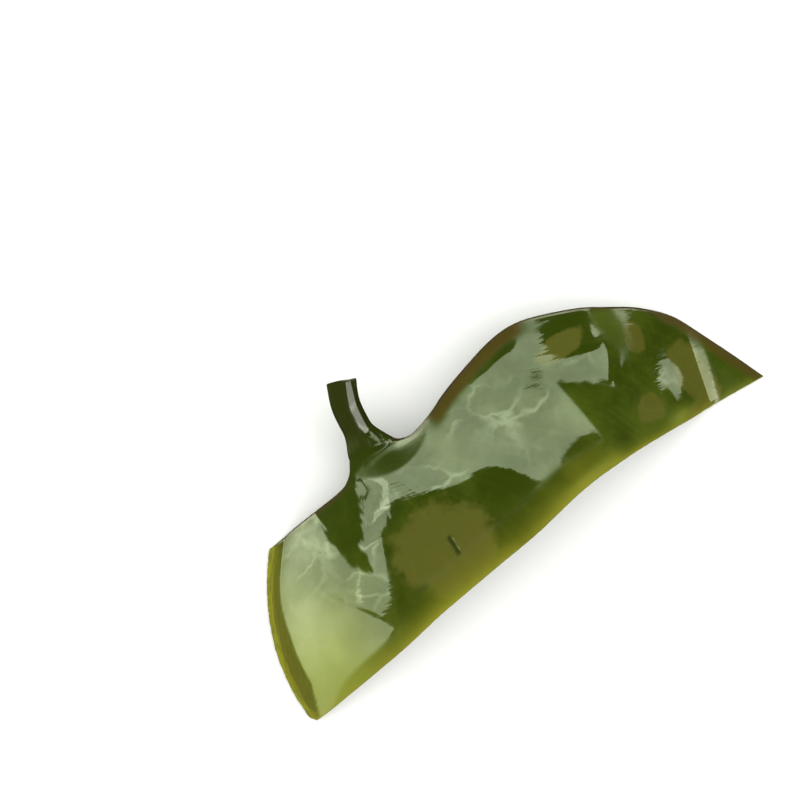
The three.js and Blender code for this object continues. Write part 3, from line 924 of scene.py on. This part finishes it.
def kelp_material(colours):
    material = bpy.data.materials.new("wet_kelp")
    nodes = Nodes(material)
    place = nodes.add("ShaderNodeTexCoord").outputs["Object"]
    fan = nodes.add("ShaderNodeUVMap", uv_map="fan").outputs[0]
    grown = nodes.add("ShaderNodeMapping")
    grown.inputs["Rotation"].default_value = (0.0, 0.0, GRAIN_TURN)
    nodes.link(place, grown.inputs["Vector"])
    grain = nodes.stretch(grown.outputs[0], GRAIN_SCALE)
    streaky = nodes.noise(grain, 1.0, 3.0, 0.5)
    fibre = nodes.noise(nodes.stretch(fan, FIBRE_SCALE), 1.0, 4.0)
    wobble = nodes.noise(place, WOBBLE_SCALE, 4.0, 0.6)

    tissue = tissue_colour(nodes, colours, place, fan, fibre, wobble)
    nodes.link(tissue, nodes.shader.inputs["Base Color"])

    dull = nodes.attribute("dull")
    cut = nodes.math("MAXIMUM", nodes.attribute("cut"), nodes.attribute("end"))
    wet = nodes.remap(streaky, 0.3, 0.75, *WET_ROUGHNESS)
    wet = nodes.math("ADD", wet, nodes.math("MULTIPLY", dull, DRY_ROUGHNESS))
    wet = nodes.math("ADD", wet, nodes.math("MULTIPLY", cut, CUT_ROUGHNESS))
    nodes.link(wet, nodes.shader.inputs["Roughness"])
    nodes.link(nodes.mix(dull, rgba(WHITE), rgba(DRY_TINT)), nodes.shader.inputs["Specular Tint"])
    film = nodes.remap(nodes.noise(place, FILM_SCALE, 5.0, 0.62), 0.3, 0.7, *WET_SHINE)
    film = nodes.math("ADD", film, wavy_lines(nodes, place, wobble))
    dry = nodes.math("MAXIMUM", dull, nodes.attribute("nick"))
    film = nodes.math("MULTIPLY", film, nodes.remap(dry, 0.0, 1.0, 1.0, DRY_SHINE))
    nodes.link(film, nodes.shader.inputs["Specular IOR Level"])
    nodes.shader.inputs["IOR"].default_value = SKIN_IOR

    patchy = nodes.remap(nodes.noise(place, PATCH_SCALE), 0.35, 0.65, 0.25, 1.0)
    skin = nodes.math("MULTIPLY", streaky, patchy)
    skin = nodes.math("ADD", skin, nodes.math("MULTIPLY", fibre, 0.06))
    crinkles = nodes.math("MULTIPLY", nodes.attribute("flange"), fibre)
    skin = nodes.math("ADD", skin, nodes.math("MULTIPLY", crinkles, 1.5))
    bump = nodes.add("ShaderNodeBump")
    bump.inputs["Strength"].default_value = 1.0
    bump.inputs["Distance"].default_value = SKIN_BUMP
    nodes.link(skin, bump.inputs["Height"])
    nodes.link(bump.outputs[0], nodes.shader.inputs["Normal"])
    return material


def tissue_colour(nodes, colours, place, fan, fibre, wobble):
    """The colour of the tissue, from the deep green of the blade to its rims, cuts and stipe."""
    clouds = nodes.remap(nodes.noise(place, CLOUD_SCALE, 5.0, 0.6), 0.42, 0.66)
    tissue = nodes.mix(clouds, rgba(colours.deep), rgba(colours.fresh))
    wander = nodes.remap(wobble, 0.0, 1.0, -OLIVE_WOBBLE, OLIVE_WOBBLE)
    olive = nodes.math("ADD", nodes.attribute("olive"), wander)
    tissue = nodes.mix(nodes.remap(olive, 0.40, 0.62), tissue, rgba(colours.olive))
    # The thin tail: paler tissue, partly painted glow of light through it
    thin = nodes.remap(nodes.noise(place, PATCH_SCALE), 0.2, 0.7, 0.75, 1.0)
    tail = nodes.math("MULTIPLY", nodes.attribute("tail"), thin)
    tissue = nodes.mix(tail, tissue, rgba(colours.pale))
    # Painted glow of light through the thin tissue along the cuts
    uneven = nodes.remap(nodes.noise(place, GLOW_SCALE), 0.2, 0.75, 0.5, 1.0)
    glow = nodes.math("MULTIPLY", nodes.attribute("glow"), uneven)
    tissue = nodes.mix(glow, tissue, rgba(colours.glow))
    wander = nodes.remap(wobble, 0.0, 1.0, -BROWN_WOBBLE, BROWN_WOBBLE)
    brown = nodes.remap(nodes.math("ADD", nodes.attribute("brown"), wander), 0.35, 0.7, 0.0, COVER["brown"])
    tissue = nodes.mix(brown, tissue, rgba(colours.brown))
    flange = nodes.math("MULTIPLY", nodes.attribute("flange"), COVER["flange"])
    tissue = nodes.mix(flange, tissue, striped_rim(nodes, colours, fan))
    tissue = nodes.mix(nodes.remap(fibre, 0.45, 0.8, 0.0, COVER["fibre"]), tissue, rgba(colours.pale))
    # The nick takes the stipe's dark colour, as painted shade in its groove
    covers = {"margin": colours.margin, "nick": colours.stipe, "stipe": colours.stipe, "cut": colours.cut}
    for name, colour in covers.items():
        tissue = nodes.mix(nodes.math("MULTIPLY", nodes.attribute(name), COVER[name]), tissue, rgba(colour))
    end = nodes.attribute("end")
    tissue = nodes.mix(nodes.remap(end, 0.0, 0.35), tissue, rgba(colours.rind))
    return nodes.mix(nodes.remap(end, 0.5, 0.75), tissue, rgba(colours.pith))


def striped_rim(nodes, colours, fan):
    """The colour of the left rim: green stripes on olive, greenest by the cut, where the edge green is a
    painted glow of light through the thin tissue.
    """
    split = nodes.add("ShaderNodeSeparateXYZ")
    nodes.link(fan, split.inputs[0])
    join = nodes.add("ShaderNodeCombineXYZ")
    nodes.link(nodes.math("MULTIPLY", nodes.attribute("to_cut"), STRIPED_RIM["across"]), join.inputs["X"])
    nodes.link(nodes.math("MULTIPLY", split.outputs["X"], STRIPED_RIM["along"]), join.inputs["Y"])
    stripes = nodes.noise(join.outputs[0], 1.0, 4.0, 0.65)
    outer = nodes.remap(nodes.attribute("to_cut"), *STRIPED_RIM["green"], 1.0, 0.0)
    outer = nodes.math("ADD", outer, 0.25)
    outer = nodes.math("MULTIPLY", outer, nodes.remap(stripes, 0.4, 0.6, 0.35, 1.0))
    return nodes.mix(outer, rgba(colours.olive), rgba(colours.glow))


def wavy_lines(nodes, place, wobble):
    """Thin pale lines that meet in a loose net, strong in some places and gone in others."""
    shift = nodes.add("ShaderNodeVectorMath", operation="SCALE")
    nodes.link(nodes.noise(place, FILM_SCALE, 3.0, 0.5, "Color"), shift.inputs[0])
    shift.inputs["Scale"].default_value = NET_DRIFT
    moved = nodes.add("ShaderNodeVectorMath", operation="ADD")
    nodes.link(place, moved.inputs[0])
    nodes.link(shift.outputs[0], moved.inputs[1])
    net = nodes.add("ShaderNodeTexVoronoi", feature="DISTANCE_TO_EDGE")
    net.inputs["Scale"].default_value = 1.0
    nodes.link(nodes.stretch(moved.outputs[0], NET_SCALE), net.inputs["Vector"])
    line = nodes.remap(net.outputs["Distance"], 0.0, NET_LINE_WIDTH, 1.0, 0.0)
    strength = nodes.remap(nodes.noise(place, 38.0, 2.0), 0.38, 0.62, 0.0, NET_STRENGTH)
    strength = nodes.math("MULTIPLY", strength, nodes.remap(nodes.attribute("tail"), 0.0, 0.4, 1.0, 0.25))
    strength = nodes.math("MULTIPLY", strength, nodes.remap(wobble, 0.35, 0.6, 0.3, 1.0))
    return nodes.math("MULTIPLY", line, strength)


def floor_material(colours):
    material = bpy.data.materials.new("pale_surface")
    nodes = Nodes(material)
    place = nodes.add("ShaderNodeTexCoord").outputs["Object"]
    shade = nodes.remap(nodes.noise(place, 3.0), 0.3, 0.7)
    darker = rgba(part * dimming for part, dimming in zip(colours.floor, FLOOR_DIMMING))
    nodes.link(nodes.mix(shade, rgba(colours.floor), darker), nodes.shader.inputs["Base Color"])
    nodes.shader.inputs["Roughness"].default_value = 0.7
    return material


class KELP_OT_grow_frond(bpy.types.Operator):
    """Grow the frond's skin round its stipe and blade"""

    bl_idname = "kelp.grow_frond"
    bl_label = "Grow the frond"

    def execute(self, context):
        sheet = rolled_sheet(frond_points())
        sheet.data.materials.append(kelp_material(context.scene.kelp_colours))
        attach(sheet, "root")
        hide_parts(NODE)
        return {"FINISHED"}


# Stage, in metres of the shared frame, with the lens and the sensor in millimetres
CAMERA_PLACE = (-0.07244, 0.01496, 0.51612)
CAMERA_TARGET = (-0.01048, 0.02828, 0.0)
CAMERA_UP = (0.5934, 0.7997, 0.0919)
CAMERA_LENS = 62.4
SENSOR = 36.0
FLOOR_SIZE = 6.0
PANEL_DISTANCE = 1.4
ROOM_LIGHT = 0.35
# Bright windows seen in the wet skin. Each: azimuth, angle from straight up, half width, half height and
# roll in degrees, then radiance and tint.
WINDOWS = {
    "back_window": (60.0, 44.5, 46.0, 20.0, 0.0, 6.1, (0.86, 1.0, 0.68)),
    "narrow_window": (127.0, 52.0, 44.0, 9.5, 42.0, 5.9, (0.86, 1.0, 0.66)),
    "left_window": (165.0, 78.0, 50.0, 30.0, 30.0, 6.3, (0.88, 1.0, 0.64)),
    "slope_window": (-8.4, 85.0, 4.6, 5.2, 0.0, 3.6, (0.88, 1.0, 0.72)),
    "streak_window": (-19.5, 48.0, 4.0, 15.0, 0.0, 7.0, (0.9, 1.0, 0.66)),
    "side_window": (-57.0, 50.0, 22.0, 28.0, 0.0, 6.0, (1.0, 1.0, 0.88)),
}
# Soft lamps that light the tissue and the surface. Each: place, width and height, and power in watts.
LAMPS = {
    "over_lamp": ((-0.3, 0.4, 1.7), (2.4, 2.4), 38.0),
    "fill_lamp": ((0.6, -0.9, 1.2), (1.4, 1.4), 12.0),
}


def hang_panel(name, place, size, roll, watts, tint, in_reflections):
    """A bright panel that faces the middle, seen in reflections only or lighting the tissue only."""
    light = bpy.data.lights.new(name, "AREA")
    light.shape = "RECTANGLE"
    light.size, light.size_y = size
    light.energy = watts
    light.color = tint
    panel = bpy.data.objects.new(name, light)
    bpy.context.scene.collection.objects.link(panel)
    panel.location = place
    facing = Vector(place).to_track_quat("Z", "Y") @ Quaternion((0.0, 0.0, 1.0), roll)
    panel.rotation_euler = facing.to_euler()
    panel.visible_camera = False
    panel.visible_glossy = in_reflections
    panel.visible_diffuse = not in_reflections
    panel.visible_transmission = not in_reflections


def hang_window(name, azimuth, angle, half_width, half_height, roll, radiance, tint):
    """A panel that shows as a bright window in the wet skin."""
    azimuth, angle = math.radians(azimuth), math.radians(angle)
    level = math.sin(angle)
    heading = Vector((level * math.cos(azimuth), level * math.sin(azimuth), math.cos(angle)))
    place = heading * PANEL_DISTANCE
    size = [2.0 * PANEL_DISTANCE * math.tan(math.radians(half)) for half in (half_width, half_height)]
    watts = radiance * math.pi * size[0] * size[1]
    hang_panel(name, place, size, math.radians(roll), watts, tint, True)


class KELP_OT_set_stage(bpy.types.Operator):
    """Lay a pale surface under the frond, hang the soft lights and point the camera"""

    bl_idname = "kelp.set_stage"
    bl_label = "Set the stage"

    def execute(self, context):
        deselect_all()
        bpy.ops.mesh.primitive_plane_add(size=FLOOR_SIZE, location=(0.0, 0.0, 0.0))
        floor = context.active_object
        floor.name = "pale_surface"
        floor.data.materials.append(floor_material(context.scene.kelp_colours))
        floor.visible_glossy = False
        for name, facts in WINDOWS.items():
            hang_window(name, *facts)
        for name, (place, size, watts) in LAMPS.items():
            hang_panel(name, place, size, 0.0, watts, WHITE, False)
        world = bpy.data.worlds.new("dim_room")
        world.use_nodes = True
        room = world.node_tree.nodes["Background"]
        room.inputs["Color"].default_value = rgba(WHITE)
        room.inputs["Strength"].default_value = ROOM_LIGHT
        world.cycles_visibility.glossy = False
        context.scene.world = world
        context.scene.view_settings.view_transform = "Standard"
        camera = bpy.data.objects.new("camera", bpy.data.cameras.new("camera"))
        context.scene.collection.objects.link(camera)
        place = Vector(CAMERA_PLACE)
        back = (place - Vector(CAMERA_TARGET)).normalized()
        up = (Vector(CAMERA_UP) - back * back.dot(Vector(CAMERA_UP))).normalized()
        right = up.cross(back)
        camera.matrix_world = Matrix.Translation(place) @ Matrix((right, up, back)).transposed().to_4x4()
        camera.data.lens = CAMERA_LENS
        camera.data.sensor_width = SENSOR
        context.scene.camera = camera
        return {"FINISHED"}


class KELP_PT_panel(bpy.types.Panel):
    bl_idname = "KELP_PT_panel"
    bl_label = "Kelp frond"
    bl_space_type = "VIEW_3D"
    bl_region_type = "UI"
    bl_category = "Kelp"

    def draw(self, context):
        for group in (context.scene.kelp_sizes, context.scene.kelp_colours):
            for name in group.__annotations__:
                self.layout.prop(group, name)
        for step in STEPS:
            self.layout.operator(step.bl_idname)


STEPS = (KELP_OT_grow_frond, KELP_OT_set_stage)
CLASSES = (KelpSizes, KelpColours, *STEPS, KELP_PT_panel)


def register():
    for item in CLASSES:
        bpy.utils.register_class(item)
    bpy.types.Scene.kelp_sizes = bpy.props.PointerProperty(type=KelpSizes)
    bpy.types.Scene.kelp_colours = bpy.props.PointerProperty(type=KelpColours)


def unregister():
    del bpy.types.Scene.kelp_colours
    del bpy.types.Scene.kelp_sizes
    for item in reversed(CLASSES):
        bpy.utils.unregister_class(item)


def main():
    register()
    bpy.ops.kelp.grow_frond()
    bpy.ops.kelp.set_stage()


if __name__ == "__main__":
    main()
